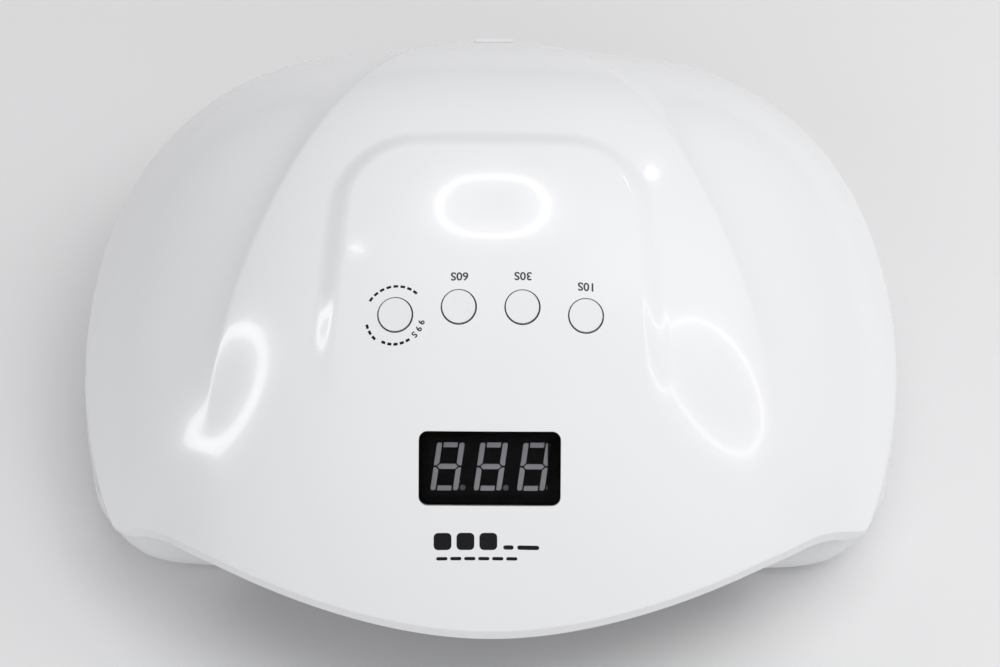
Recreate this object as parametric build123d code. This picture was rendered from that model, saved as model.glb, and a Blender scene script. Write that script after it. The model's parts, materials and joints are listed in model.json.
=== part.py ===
from build123d import *
import math
import os

# Nail curing lamp: a domed cover over a base frame, a reflector with 36 emitters, a removable steel tray,
# four spring-return time keys and a three-digit display.
#
# Frame: millimetres, +X to the user's right, -Y towards the user, +Z up. The origin is the centre of the
# overall footprint at the height of the surface that the feet stand on.

# ---------------------------------------------------------------- driving dimensions
HALF_WIDTH = 128.0
APEX_HEIGHT = 107.0
APEX_Y = 15.0
WIDEST_Y = -10.0
REAR_Y = 108.5
LIP_Y = -110.5
LIP_RADIUS = 160.0
FRONT_REACH = 130.0
PLAN_POWER = 2.1

SEAM_Z = 25.0
FLOOR_Z = 1.5
FLOOR_TOP_Z = 4.0
WALL = 2.2
RIM_RADIUS = 6.0

SIDE_DROP, SIDE_SPAN, SIDE_POWER = 67.0, 129.0, 2.6
FRONT_DROP, FRONT_SPAN, FRONT_POWER = 66.0, 125.0, 2.2
REAR_DROP, REAR_SPAN, REAR_POWER = 64.0, 94.0, 2.3

BAND_WIDEST, BAND_TURN_Y, BAND_TAPER = 84.0, -51.0, 0.0406
SCOOP_DEPTH, SCOOP_LENGTH, SCOOP_REACH = 4.2, 9.0, 52.0
PAD_RISE, PAD_EDGE = 2.0, 8.0
PAD_REAR_Y, PAD_CORNER = 25.0, 24.0

FINE_GRID = (44, 40)
COARSE_GRID = (18, 16)
DOME_MARGIN = 4.0
DEEP = 60.0

REFLECTOR_HALF, REFLECTOR_REAR, REFLECTOR_POWER = 90.0, 86.0, 2.8
REFLECTOR_FRONT = 170.0
REFLECTOR_WALL = 1.8
REFLECTOR_GAP, REFLECTOR_LIP_GAP = 26.0, 5.0
REFLECTOR_ROUND = 6.0
FLARE_LENGTH, SIDE_FLARE = 40.0, 0.85
MOUTH_HALF, MOUTH_WALL_Y = 87.5, -65.2
JAMB_BACK_Y = -61.0
SIDE_WALL_FRONT_Y = -59.5

TRAY_HALF, TRAY_FRONT_Y, TRAY_REAR_Y = 78.0, -66.0, 66.0
TRAY_THICK, TRAY_CORNER, TRAY_LIFT = 1.0, 38.0, 0.3
BOTTOM_HALF, BOTTOM_FRONT_Y, BOTTOM_REAR_Y = 66.0, -57.0, 54.0

KEY_Y = -34.9
KEY_PITCH = 18.6
KEY_OUTER_STEP = 2.3
KEY_RADIUS, KEY_HOLE_RADIUS = 4.85, 5.3
CAP_PROUD = 0.25
KEY_NAMES = ("99s", "60s", "30s", "10s")
DISPLAY_Y = -75.1
WINDOW_W, WINDOW_H, WINDOW_CORNER = 41.0, 21.4, 2.6

BOSS_ANGLES = (22, 62, 118, 158, -22, -158)
BOSS_INSET = 22.0
INLET_Z = 31.5
BEZEL_Y = 110.5
BEZEL_WIDTH, BEZEL_TOP = 13.8, 42.0
UP = (Align.CENTER, Align.CENTER, Align.MIN)
DOWN = (Align.CENTER, Align.CENTER, Align.MAX)


# ---------------------------------------------------------------- shape of the dome
def smooth(low, high, value):
    """0 at low, 1 at high and beyond, with a smooth turn between."""
    t = min(1.0, max(0.0, (value - low) / (high - low)))
    return t * t * (3 - 2 * t)


def dome_base(x, y):
    """Height of the plain dome, without the band, the scoops and the key pad."""
    side = SIDE_DROP * (abs(x) / SIDE_SPAN) ** SIDE_POWER
    if y < APEX_Y:
        along = FRONT_DROP * ((APEX_Y - y) / FRONT_SPAN) ** FRONT_POWER
    else:
        along = REAR_DROP * ((y - APEX_Y) / REAR_SPAN) ** REAR_POWER
    return APEX_HEIGHT - PAD_RISE - side - along


def band_half(y):
    """Half the width of the raised middle band, which narrows towards the rear."""
    return BAND_WIDEST - BAND_TAPER * max(0.0, y - BAND_TURN_Y) ** 1.5


def scoop(x, y):
    """How far the flank is hollowed outside the band's crease; it fades out towards the lip."""
    out = abs(x) - band_half(y)
    if out <= 0:
        return 0.0
    depth = SCOOP_DEPTH * smooth(-66.0, -20.0, y)
    return depth * (1 - math.exp(-out / SCOOP_LENGTH)) * max(0.0, 1 - out / SCOOP_REACH)


def key_pad(x, y):
    """Rise of the pad that carries the keys: a soft arch whose front end fades into the band."""
    half = 53.0 - 0.09 * max(0.0, y + 40.0)
    dx = abs(x) - (half - PAD_CORNER)
    dy = y - (PAD_REAR_Y - PAD_CORNER)
    outside = math.hypot(max(dx, 0.0), max(dy, 0.0)) + min(max(dx, dy), 0.0) - PAD_CORNER
    return PAD_RISE * smooth(PAD_EDGE, 0.0, outside + PAD_EDGE) * smooth(-62.0, -26.0, y)


def dome(x, y):
    return dome_base(x, y) - scoop(x, y) + key_pad(x, y)


def dome_slopes(surface, x, y, step=0.5):
    across = (surface(x + step, y) - surface(x - step, y)) / (2 * step)
    along = (surface(x, y + step) - surface(x, y - step)) / (2 * step)
    return across, along


def below_surface(surface, depth, grid):
    """Solid under a height surface moved down by depth along its normal, lofted from front to rear."""
    columns, rows = grid
    half = HALF_WIDTH + DOME_MARGIN
    front, rear = LIP_Y - DOME_MARGIN, REAR_Y + DOME_MARGIN
    sections = []
    for j in range(rows + 1):
        y = front + (rear - front) * j / rows
        top = []
        for i in range(columns + 1):
            x = -half + 2 * half * i / columns
            across, along = dome_slopes(surface, x, y)
            top.append((x, y, surface(x, y) - depth * math.sqrt(1 + across**2 + along**2)))
        closing = Polyline(top[-1], (half, y, -DEEP), (-half, y, -DEEP), top[0])
        sections.append(Wire([Spline(*top).edge(), *closing.edges()]))
    return Solid.make_loft(sections)


# ---------------------------------------------------------------- plan outlines
def superellipse(angle, half, rear, front, power):
    """Radius of a lopsided superellipse about (0, WIDEST_Y), at an angle in radians."""
    c, s = math.cos(angle), math.sin(angle)
    reach = rear if s > 0 else front
    return ((abs(c) / half) ** power + (abs(s) / reach) ** power) ** (-1 / power)


def body_radius(angle):
    return superellipse(angle, HALF_WIDTH, REAR_Y - WIDEST_Y, FRONT_REACH, PLAN_POWER)


def body_point(degrees, inset):
    """Point inside the body's outline by inset, in the direction of an angle."""
    angle = math.radians(degrees)
    r = body_radius(angle) - inset
    return r * math.cos(angle), WIDEST_Y + r * math.sin(angle)


def outline(radius_at, count=48):
    """Closed smooth curve through points at a radius that varies with angle."""
    points = []
    for k in range(count):
        angle = 2 * math.pi * k / count
        r = radius_at(angle)
        points.append((r * math.cos(angle), WIDEST_Y + r * math.sin(angle)))
    return Spline(*points, periodic=True)


def lip_disc(inset):
    return Pos(0, LIP_Y + LIP_RADIUS) * Circle(LIP_RADIUS - inset)


def body_plan(inset):
    sides = make_face(outline(lambda a: body_radius(a) - inset))
    return sides & lip_disc(inset)


def reflector_plan(inset):
    def radius(a):
        wide = REFLECTOR_HALF, REFLECTOR_REAR, REFLECTOR_FRONT, REFLECTOR_POWER
        return superellipse(a, *wide) - inset

    return make_face(outline(radius)) & lip_disc(REFLECTOR_LIP_GAP + inset)


def column(plan, low, high):
    return Pos(0, 0, low) * extrude(plan, amount=high - low, dir=(0, 0, 1))


def rounded_top(solid, radius):
    """Rounds the edge where the dome meets the upright wall."""
    top = max(solid.faces(), key=lambda face: face.center().Z)
    return solid.fillet(radius, top.edges())


# ---------------------------------------------------------------- local frames on the dome
def seat(x, y):
    """Plane on the dome, facing out, with its X across the lamp."""
    across, along = dome_slopes(dome, x, y)
    return Plane(origin=(x, y, dome(x, y)), x_dir=(1, 0, across), z_dir=(-across, -along, 1))


def key_places():
    """Places of the four keys on the key plane, left to right."""
    return [
        ((i - 1.5) * KEY_PITCH, -KEY_OUTER_STEP if i in (0, 3) else 0.0)
        for i in range(len(KEY_NAMES))
    ]


def on(plane, x, y, z, shape):
    return plane.location * Pos(x, y, z) * shape


KEY_PLANE = seat(0, KEY_Y)
DISPLAY_PLANE = seat(0, DISPLAY_Y)

# Levels on the key plane, measured out from the dome's surface.
FLANGE_TOP, FLANGE_LOW = -5.2, -6.2
STEM_LOW, PLUNGER_LOW = -7.6, -9.8
SWITCH_TOP, SWITCH_LOW = -8.6, -12.0
BOARD_THICK = 1.6
HEADER_TALL = 3.6
LEAD_GAP = 0.7
LEAD_X = 13.0
KEY_BOARD_LOW = SWITCH_LOW - BOARD_THICK
# Levels on the display plane.
LENS_TOP, LENS_STEP, LENS_LOW = -0.7, -4.6, -5.5
MASK_LOW, DIGIT_LOW, MODULE_LOW = -5.7, -5.9, -13.4
DISPLAY_BOARD_LOW = MODULE_LOW - BOARD_THICK
KEY_BOARD_W, KEY_BOARD_H = 80.0, 27.0
KEY_POSTS = [(sx * 35.5, sy * 9.5) for sx in (-1, 1) for sy in (-1, 1)]
DISPLAY_BOARD_W, DISPLAY_BOARD_H = 60.0, 22.0
DISPLAY_POSTS = [(-26.4, 0.0), (26.4, 0.0)]


def rounded_plate(width, height, thick, corner):
    return extrude(RectangleRounded(width, height, corner), amount=thick)


# ---------------------------------------------------------------- cover
def case_bosses():
    return [body_point(a, BOSS_INSET) for a in BOSS_ANGLES]


def mouth_prism(grow=0.0):
    """Arch-shaped way in under the lip: a block along Y with sloping shoulders."""
    arch = Polyline(
        (-110 - grow, SEAM_Z - 1),
        (-103.5 - grow, SEAM_Z + 4.5),
        (-95 - grow, SEAM_Z + 12.5),
        (-78 - grow, SEAM_Z + 26),
        (-50, 90),
        (50, 90),
        (78 + grow, SEAM_Z + 26),
        (95 + grow, SEAM_Z + 12.5),
        (103.5 + grow, SEAM_Z + 4.5),
        (110 + grow, SEAM_Z - 1),
        close=True,
    )
    profile = Plane.XZ * make_face(arch)
    return Pos(0, JAMB_BACK_Y, 0) * extrude(profile, amount=80, dir=(0, -1, 0))


def inlet_notch(clear):
    low, high = SEAM_Z - 1, INLET_Z + 7.2 + clear
    notch = Box(14.0 + 2 * clear, 14.0, high - low, align=UP)
    return Pos(0, REAR_Y - 4, low) * notch


def cover_posts():
    """What stands inside the cover: posts for the base and boards, and a wall beside the mouth."""
    posts = [Pos(x, y, SEAM_Z - 2) * Cylinder(3.6, 90, align=UP) for x, y in case_bosses()]
    for side in (-1, 1):
        wall = Box(2 * (HALF_WIDTH - MOUTH_HALF), WALL, 90, align=UP)
        posts.append(Pos(side * HALF_WIDTH, MOUTH_WALL_Y, SEAM_Z - 2) * wall)
    for x, y in KEY_POSTS:
        posts.append(on(KEY_PLANE, x, y, SWITCH_LOW, Cylinder(2.6, 20, align=UP)))
    for x, y in DISPLAY_POSTS:
        posts.append(on(DISPLAY_PLANE, x, y, MODULE_LOW, Cylinder(2.4, 20, align=UP)))
    return posts


def cover_holes():
    holes = [Pos(x, y, SEAM_Z - 1) * Cylinder(1.25, 16, align=UP) for x, y in case_bosses()]
    for x, y in KEY_POSTS:
        holes.append(on(KEY_PLANE, x, y, SWITCH_LOW, Cylinder(0.85, 5.5, align=UP)))
    for x, y in DISPLAY_POSTS:
        holes.append(on(DISPLAY_PLANE, x, y, MODULE_LOW, Cylinder(0.85, 6, align=UP)))
    for x, y in key_places():
        holes.append(on(KEY_PLANE, x, y, -7, Cylinder(KEY_HOLE_RADIUS, 11, align=UP)))
    window = rounded_plate(WINDOW_W + 0.5, WINDOW_H + 0.5, 12, WINDOW_CORNER)
    holes.append(on(DISPLAY_PLANE, 0, 0, -7, window))
    holes.append(inlet_notch(0.15))
    return holes


def top_cover():
    block = column(body_plan(0), SEAM_Z, APEX_HEIGHT + 20) & below_surface(dome, 0.0, FINE_GRID)
    outer = rounded_top(block.solids()[0], RIM_RADIUS)
    room = column(body_plan(WALL), SEAM_Z - 1, APEX_HEIGHT + 20) + mouth_prism()
    hollow = (room & below_surface(dome, WALL, COARSE_GRID)) - cover_posts()
    return outer - hollow - cover_holes()


# ---------------------------------------------------------------- base frame
def base_radius(inset, front_y):
    """Outline of the base: the body's outline with a straight front, its corners rounded."""
    reach = WIDEST_Y - front_y
    blend = 18.0

    def radius(angle):
        side = body_radius(angle) - inset
        down = -math.sin(angle)
        if down < 0.05:
            return side
        return (side**-blend + (reach / down) ** -blend) ** (-1 / blend)

    return radius


BASE_LEVELS = (
    (FLOOR_Z, 14.0, -68.0),
    (4.5, 8.5, -70.5),
    (9.0, 3.8, -71.5),
    (15.0, 0.3, -71.0),
    (20.0, -0.9, -69.5),
    (SEAM_Z, 0.0, -67.0),
)


def base_block(inset, low, high, front_y=None):
    """Bowl-shaped block of the base, lofted through its outlines, cut between two heights."""
    sections = []
    for z, level_inset, level_front in BASE_LEVELS:
        front = level_front + inset if front_y is None else front_y
        curve = outline(base_radius(level_inset + inset, front), count=64)
        sections.append(Pos(0, 0, z) * Wire(curve.edges()))
    bowl = Solid.make_loft(sections)
    return bowl & Pos(0, 0, low) * Box(300, 300, high - low, align=UP)


def slot_row(x0, count):
    cuts = []
    for k in range(count):
        cuts.append(Pos(x0 + k * 5.0, REAR_Y - 4, 14.0) * Box(2.0, 20, 8, align=UP))
    return cuts


FEET = [body_point(a, 30.0) for a in (38, 142)] + [(-90.0, -50.0), (90.0, -50.0)]
MAGNETS = [(sx * 71.5, y) for sx in (-1, 1) for y in (-40.0, 34.0)]
REFLECTOR_EARS = [(-98.0, -25.0), (98.0, -25.0), (-62.0, 70.0), (62.0, 70.0)]


def stepped_hollow():
    """Room inside the base: three upright-walled steps that follow the bowl."""
    room = []
    for low, high, inset in ((FLOOR_TOP_Z, 9.0, 11.0), (9.0, 15.0, 6.4), (15.0, SEAM_Z + 1, 2.8)):
        plan = make_face(outline(base_radius(inset, JAMB_BACK_Y)))
        room.append(column(plan, low, high))
    return room


def lower_housing():
    bottom_h = BOTTOM_REAR_Y - BOTTOM_FRONT_Y
    bottom = rounded_plate(2 * BOTTOM_HALF, bottom_h, 10, 30)
    cuts = stepped_hollow()
    cuts.append(Pos(0, (BOTTOM_REAR_Y + BOTTOM_FRONT_Y) / 2, -2) * bottom)
    cuts.append(Pos(0, -80, FLOOR_TOP_Z) * Box(2 * (TRAY_HALF + 1.5), 60, 40, align=UP))
    housing = base_block(0, FLOOR_Z, SEAM_Z) - cuts
    towers = [Pos(x, y, FLOOR_Z) * Cylinder(4.6, SEAM_Z - FLOOR_Z, align=UP) for x, y in case_bosses()]
    for x, y in REFLECTOR_EARS:
        towers.append(Pos(x, y, FLOOR_Z) * Cylinder(3.2, 8.5 - FLOOR_Z, align=UP))
    housing += towers
    holes = slot_row(-47, 5) + slot_row(27, 5)
    for x, y in case_bosses():
        holes.append(Pos(x, y, 0) * Cylinder(1.7, 40, align=UP))
        holes.append(Pos(x, y, 0) * Cylinder(3.3, 15, align=UP))
    for x, y in REFLECTOR_EARS:
        holes.append(Pos(x, y, 3.0) * Cylinder(1.0, 12, align=UP))
    for x, y in FEET:
        holes.append(Pos(x, y, FLOOR_Z - 1) * Cylinder(6.1, 2.0, align=UP))
    for x, y in MAGNETS:
        holes.append(Pos(x, y, 2.0) * Cylinder(4.0, 5.0, align=UP))
    return housing - holes


def inlet_bezel():
    """Square collar around the power inlet in the cover's notch, with a taller flange behind the rear wall."""
    on_base = (Align.CENTER, Align.MAX, Align.MIN)
    block = Pos(0, BEZEL_Y, SEAM_Z) * Box(BEZEL_WIDTH, 8.9, 13.7, align=on_base)
    depth = BEZEL_Y - REAR_Y - 0.25
    block += Pos(0, BEZEL_Y, SEAM_Z) * Box(BEZEL_WIDTH, depth, BEZEL_TOP - SEAM_Z, align=on_base)
    block = block.fillet(0.7, block.faces().sort_by(Axis.Y)[-1].edges())
    hole = Cylinder(4.1, 20, rotation=(90, 0, 0))
    return block - Pos(0, 105, INLET_Z) * hole


def power_inlet():
    """Barrel socket: a square body behind a round nose."""
    body = Pos(0, 101.4, INLET_Z) * Box(9.4, 12, 11, align=(Align.CENTER, Align.MAX, Align.CENTER))
    nose = Cylinder(4.0, 8.6, rotation=(90, 0, 0))
    nose = Pos(0, 105.7, INLET_Z) * nose
    bore = Pos(0, 106.0, INLET_Z) * Cylinder(2.85, 21, rotation=(90, 0, 0))
    return body + nose - bore


def inlet_pin():
    return Pos(0, 101.5, INLET_Z) * Cylinder(1.05, 11.6, rotation=(90, 0, 0))


def inlet_tags():
    """Solder tags that leave the socket's back."""
    tags = []
    for x, z in ((0, 0.0), (3.0, -3.5)):
        tag = Box(1.8, 4.0, 0.5, align=(Align.CENTER, Align.MAX, Align.CENTER))
        tags.append(Pos(x, 89.4, INLET_Z + z) * tag)
    return Compound(tags)


# ---------------------------------------------------------------- reflector and emitters
def ceiling(x, y):
    """Height of the reflector's roof: parallel to the plain dome, rising to the lip and the mouth's sides."""
    from_lip = LIP_RADIUS - math.hypot(x, y - LIP_Y - LIP_RADIUS)
    side = smooth(50.0, 90.0, abs(x)) * smooth(-36.0, -80.0, y)
    depth = smooth(2.0, FLARE_LENGTH, from_lip) * (1 - SIDE_FLARE * side)
    return dome_base(x, y) - REFLECTOR_LIP_GAP - (REFLECTOR_GAP - REFLECTOR_LIP_GAP) * depth


def roof_spots():
    """Places and outward normals of the emitters in the roof."""
    spots = []
    for y in (-52.0, -20.0, 12.0, 44.0):
        for i in range(5):
            x = (i - 2) * 26.0
            across, along = dome_slopes(ceiling, x, y)
            spots.append((Vector(x, y, ceiling(x, y)), Vector(-across, -along, 1)))
    return spots


def wall_spots():
    """Places and outward normals of the emitters in the side and rear walls."""
    spots = []
    wide = REFLECTOR_HALF, REFLECTOR_REAR, REFLECTOR_FRONT, REFLECTOR_POWER
    sides = [(a, z) for a in (-14, 5, 26) for z in (19.0, 36.0)]
    rears = [(a, 24.0) for a in (70, 83)]
    for degrees, z in sides + rears:
        for mirror in (1, -1):
            a = math.radians(degrees)
            r = superellipse(a, *wide)
            step = 0.01
            ahead = superellipse(a + step, *wide)
            here = Vector(r * math.cos(a), r * math.sin(a))
            there = Vector(ahead * math.cos(a + step), ahead * math.sin(a + step))
            run = there - here
            place = Vector(mirror * here.X, WIDEST_Y + here.Y, z)
            spots.append((place, Vector(mirror * run.Y, -run.X, 0)))
    return spots


def spots():
    return [
        Plane(origin=place, z_dir=normal.normalized())
        for place, normal in roof_spots() + wall_spots()
    ]


def reflector_ears():
    ears = []
    for x, y in REFLECTOR_EARS:
        ears.append(Pos(x, y, 8.6) * Cylinder(3.4, 2.0, align=UP))
        if abs(x) > 80:
            towards = Align.MAX if x > 0 else Align.MIN
            arm = Box(14, 6.8, 2.0, align=(towards, Align.CENTER, Align.MIN))
        else:
            arm = Box(6.8, 14, 2.0, align=(Align.CENTER, Align.MAX, Align.MIN))
        ears.append(Pos(x, y, 8.6) * arm)
    return ears


def reflector():
    """Thin bowl with an open front; its roof runs out to the lip between the jambs."""
    block = column(reflector_plan(0), FLOOR_TOP_Z, 150) & below_surface(ceiling, 0.0, COARSE_GRID)
    bowl = rounded_top(block.solids()[0], REFLECTOR_ROUND)
    inner_plan = reflector_plan(REFLECTOR_WALL)
    front = Pos(0, JAMB_BACK_Y - 40) * Rectangle(300, 80)
    room = column(inner_plan + front, FLOOR_TOP_Z - 1, 150)
    hollow = room & below_surface(ceiling, REFLECTOR_WALL, COARSE_GRID)
    solid = bowl + reflector_ears()
    cuts = [Pos(x, y, 5) * Cylinder(1.5, 8, align=UP) for x, y in REFLECTOR_EARS]
    cuts += [plane.location * Cylinder(3.4, 9) for plane in spots()]
    cuts.append(Pos(0, SENSOR_Y, 40) * Box(13.2, 7.2, 30, align=UP))
    for side in (-1, 1):
        corner = Box(40, 60, 120, align=(Align.CENTER, Align.MAX, Align.MIN))
        cuts.append(Pos(side * (MOUTH_HALF + 18.5), SIDE_WALL_FRONT_Y, 0) * corner)
    return solid - hollow - cuts


SENSOR_Y = -93.0


def emitter_parts():
    """The lens, the package and the round board of every emitter, each as one group."""
    lenses, packages, boards = [], [], []
    for plane in spots():
        dome_lens = Sphere(3.2) & Pos(0, 0, -2.0) * Box(8, 8, 2.0, align=DOWN)
        lens = Pos(0, 0, -2.0) * Cylinder(3.2, 2.2, align=UP) + dome_lens
        lenses.append(plane.location * lens)
        packages.append(plane.location * Pos(0, 0, 0.2) * Box(5.0, 5.0, 1.0, align=UP))
        boards.append(plane.location * Pos(0, 0, 1.2) * Cylinder(6.0, 1.2, align=UP))
    return Compound(lenses), Compound(packages), Compound(boards)


def sensor_parts():
    top = ceiling(0, SENSOR_Y)
    window = Pos(0, SENSOR_Y, top - 2.6) * Box(12.8, 6.8, 2.2, align=UP)
    diodes = []
    for x in (-3.2, 3.2):
        can = Cylinder(1.5, 2.6, align=UP) + Pos(0, 0, 2.6) * Cylinder(1.9, 0.8, align=UP)
        diodes.append(Pos(x, SENSOR_Y, top - 0.4) * can)
    board = Pos(0, SENSOR_Y, top + 3.0) * Box(18, 9, 1.0, align=UP)
    return window, diodes[0], diodes[1], board


# ---------------------------------------------------------------- tray
def base_tray():
    """Thin steel plate with a rounded rear, a finger notch and a stiffening bead."""
    depth = TRAY_REAR_Y - TRAY_FRONT_Y
    middle = (TRAY_REAR_Y + TRAY_FRONT_Y) / 2
    plate = Pos(0, middle) * RectangleRounded(2 * TRAY_HALF, depth, 4.0)
    long_plate = RectangleRounded(2 * TRAY_HALF, depth + 2 * TRAY_CORNER, TRAY_CORNER)
    rear = Pos(0, middle - TRAY_CORNER) * long_plate
    notch = Pos(0, TRAY_FRONT_Y - 4) * Circle(16)
    flat = extrude((plate & rear) - notch, amount=TRAY_THICK)
    ring = Pos(0, middle + 2) * RectangleRounded(132, depth - 34, 30)
    bead = ring - Pos(0, middle + 2) * RectangleRounded(128, depth - 38, 28)
    return Pos(0, 0, FLOOR_TOP_Z + TRAY_LIFT) * (flat + Pos(0, 0, TRAY_THICK) * extrude(bead, amount=0.8))


# ---------------------------------------------------------------- keys and boards
def key_cap(x, y):
    """Round cap cut flush with the dome, with a retaining flange and a stem."""
    place = KEY_PLANE.from_local_coords(Vector(x, y, 0))
    under_skin = seat(x, place.Y).location * Pos(0, 0, CAP_PROUD) * Box(30, 30, 30, align=DOWN)
    cap = on(KEY_PLANE, x, y, FLANGE_LOW, Cylinder(KEY_RADIUS, 9, align=UP)) & under_skin
    flange = Cylinder(6.4, FLANGE_TOP - FLANGE_LOW, align=UP)
    stem = Cylinder(2.4, FLANGE_LOW - STEM_LOW, align=UP)
    cap += on(KEY_PLANE, x, y, FLANGE_LOW, flange)
    return cap + on(KEY_PLANE, x, y, STEM_LOW, stem)


def key_plunger(x, y):
    return on(KEY_PLANE, x, y, PLUNGER_LOW, Cylinder(1.7, STEM_LOW - PLUNGER_LOW, align=UP))


def tact_switches():
    switches = []
    for x, y in key_places():
        body = Box(6.2, 6.2, SWITCH_TOP - SWITCH_LOW, align=UP)
        body -= Pos(0, 0, 0.8) * Cylinder(1.85, 6, align=UP)
        switches.append(on(KEY_PLANE, x, y, SWITCH_LOW, body))
    return Compound(switches)


def key_board():
    board = rounded_plate(KEY_BOARD_W, KEY_BOARD_H, BOARD_THICK, 2)
    for x, y in KEY_POSTS:
        board -= Pos(x, y, 0) * Cylinder(1.2, 10)
    return on(KEY_PLANE, 0, 0, KEY_BOARD_LOW, board)


def controller_chip():
    return on(KEY_PLANE, -6, 0, KEY_BOARD_LOW, Box(10, 5.4, 1.5, align=DOWN))


def buzzer():
    can = Cylinder(4.5, 4.0, align=DOWN) - Pos(0, 0, -4.0) * Cylinder(1.0, 1.0, align=UP)
    return on(KEY_PLANE, 22, 0, KEY_BOARD_LOW, can)


def lead_header(pins):
    """Shrouded white header, open on top."""
    shell = Box(pins * 2.0 + 3.0, 5.0, HEADER_TALL, align=DOWN)
    return shell - Pos(0, 0, -HEADER_TALL) * Box(pins * 2.0 + 1.4, 3.4, HEADER_TALL - 1, align=UP)


def lead_headers():
    places = [
        on(KEY_PLANE, LEAD_X, -9.2, KEY_BOARD_LOW, lead_header(5)),
        on(KEY_PLANE, -24, 6.5, KEY_BOARD_LOW, lead_header(4)),
        on(DISPLAY_PLANE, LEAD_X, 0, DISPLAY_BOARD_LOW, lead_header(5)),
    ]
    return Compound(places)


def display_board():
    board = rounded_plate(DISPLAY_BOARD_W, DISPLAY_BOARD_H, BOARD_THICK, 1.5)
    for x, y in DISPLAY_POSTS:
        board -= Pos(x, y, 0) * Cylinder(1.2, 10)
    return on(DISPLAY_PLANE, 0, 0, DISPLAY_BOARD_LOW, board)


def board_screws():
    """Pan-head screws that hold both boards to the cover's posts."""
    screws = []
    for plane, low, places in (
        (KEY_PLANE, KEY_BOARD_LOW, KEY_POSTS),
        (DISPLAY_PLANE, DISPLAY_BOARD_LOW, DISPLAY_POSTS),
    ):
        for x, y in places:
            shank = Cylinder(0.8, 6.4, align=UP)
            head = Cylinder(2.1, 1.3, align=DOWN) - Pos(0, 0, -1.3) * cross_slot(2.4, 0.5, 0.7)
            screws.append(on(plane, x, y, low, shank + head))
    return Compound(screws)


def cross_slot(length, width, depth):
    bar = Box(length, width, depth, align=UP)
    return bar + Box(width, length, depth, align=UP)


def display_window():
    lens = rounded_plate(WINDOW_W, WINDOW_H, LENS_TOP - LENS_LOW, WINDOW_CORNER)
    flange = rounded_plate(WINDOW_W + 4, WINDOW_H + 3, LENS_STEP - LENS_LOW, 2)
    return on(DISPLAY_PLANE, 0, 0, LENS_LOW, lens + flange)


def display_mask():
    """Black film behind the window; its opening sits a little to the left."""
    frame = rounded_plate(WINDOW_W + 4, WINDOW_H + 3, LENS_LOW - MASK_LOW, 2)
    frame -= Pos(-0.6, 0, -1) * Box(35.2, 17.0, 4)
    return on(DISPLAY_PLANE, 0, 0, MASK_LOW, frame)


DIGIT_H, DIGIT_W, DIGIT_PITCH, DIGIT_LEAN = 14.2, 8.1, 12.7, math.radians(8)
DIGIT_SHIFT = 0.3
BAR, BAR_GAP = 1.5, 0.3
POINT_RADIUS = 0.85


def leaned(points, x0):
    """Outline sheared to the digits' slant."""
    return [(x0 + x + y * math.tan(DIGIT_LEAN), y) for x, y in points]


def digit_bars():
    """The seven bars of one digit, each as the corner points of its outline."""
    h, w, b, g = DIGIT_H / 2, DIGIT_W / 2, BAR, BAR_GAP
    rail = [(-w, g), (-w + b / 2, g), (-w + b, b / 2 + g)]
    rail += [(-w + b, h - g), (-w + 0.5, h), (-w, h - 0.5)]
    end, low = w - b - 0.5, h - b * 0.95
    top = [(-end, h), (end, h), (end, low), (-end, low)]
    middle = [(-w + b / 2 + g, 0), (-w + b + g, b / 2), (w - b - g, b / 2)]
    middle += [(w - b / 2 - g, 0), (w - b - g, -b / 2), (-w + b + g, -b / 2)]
    bars = [top, [(x, -y) for x, y in top], middle]
    for sx in (1, -1):
        for sy in (1, -1):
            bars.append([(sx * x, sy * y) for x, y in rail])
    return bars


def digit_places():
    return [(i - 1) * DIGIT_PITCH + DIGIT_SHIFT for i in range(3)]


def display_segments():
    """The 21 light bars of the three digits."""
    bars = []
    thick = MASK_LOW - DIGIT_LOW
    for x0 in digit_places():
        for bar in digit_bars():
            face = make_face(Polyline(*leaned(bar, x0), close=True))
            bars.append(on(DISPLAY_PLANE, 0, 0, DIGIT_LOW, extrude(face, amount=thick, dir=(0, 0, 1))))
    return Compound(bars)


def display_points():
    """The round point at the foot of each digit."""
    points = []
    y = -DIGIT_H / 2 + POINT_RADIUS
    for x0 in digit_places():
        point = Cylinder(POINT_RADIUS, MASK_LOW - DIGIT_LOW, align=UP)
        points.append(on(DISPLAY_PLANE, x0 + DIGIT_W / 2 + 0.4, y, DIGIT_LOW, point))
    return Compound(points)


def display_module():
    body = Box(37.6, 19.0, DIGIT_LOW - MODULE_LOW, align=UP)
    return on(DISPLAY_PLANE, 0, 0, MODULE_LOW, body)


# ---------------------------------------------------------------- power board and wiring
POWER_Y, POWER_Z = 88.0, 8.0


def power_board():
    board = Pos(0, POWER_Y, POWER_Z) * Box(64, 11.5, BOARD_THICK, align=UP)
    for x in (-28, 28):
        board -= Pos(x, POWER_Y, POWER_Z) * Cylinder(1.2, 10)
    return board


def power_standoffs():
    posts = []
    for x in (-28, 28):
        post = Cylinder(2.6, POWER_Z - FLOOR_TOP_Z, align=UP) - Cylinder(0.8, 20)
        posts.append(Pos(x, POWER_Y, FLOOR_TOP_Z) * post)
    return Compound(posts)


def power_screws():
    screws = []
    for x in (-28, 28):
        shank = Cylinder(0.75, 4.4, align=DOWN)
        head = Cylinder(2.1, 1.3, align=UP) - Pos(0, 0, 0.6) * cross_slot(2.4, 0.5, 0.7)
        screws.append(Pos(x, POWER_Y, POWER_Z + BOARD_THICK) * (shank + head))
    return Compound(screws)


def power_capacitor():
    can = Cylinder(4.0, 11.0, align=UP)
    can = can.fillet(0.6, can.edges().sort_by(Axis.Z)[-1:])
    return Pos(14, POWER_Y, POWER_Z + BOARD_THICK) * can


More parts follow.
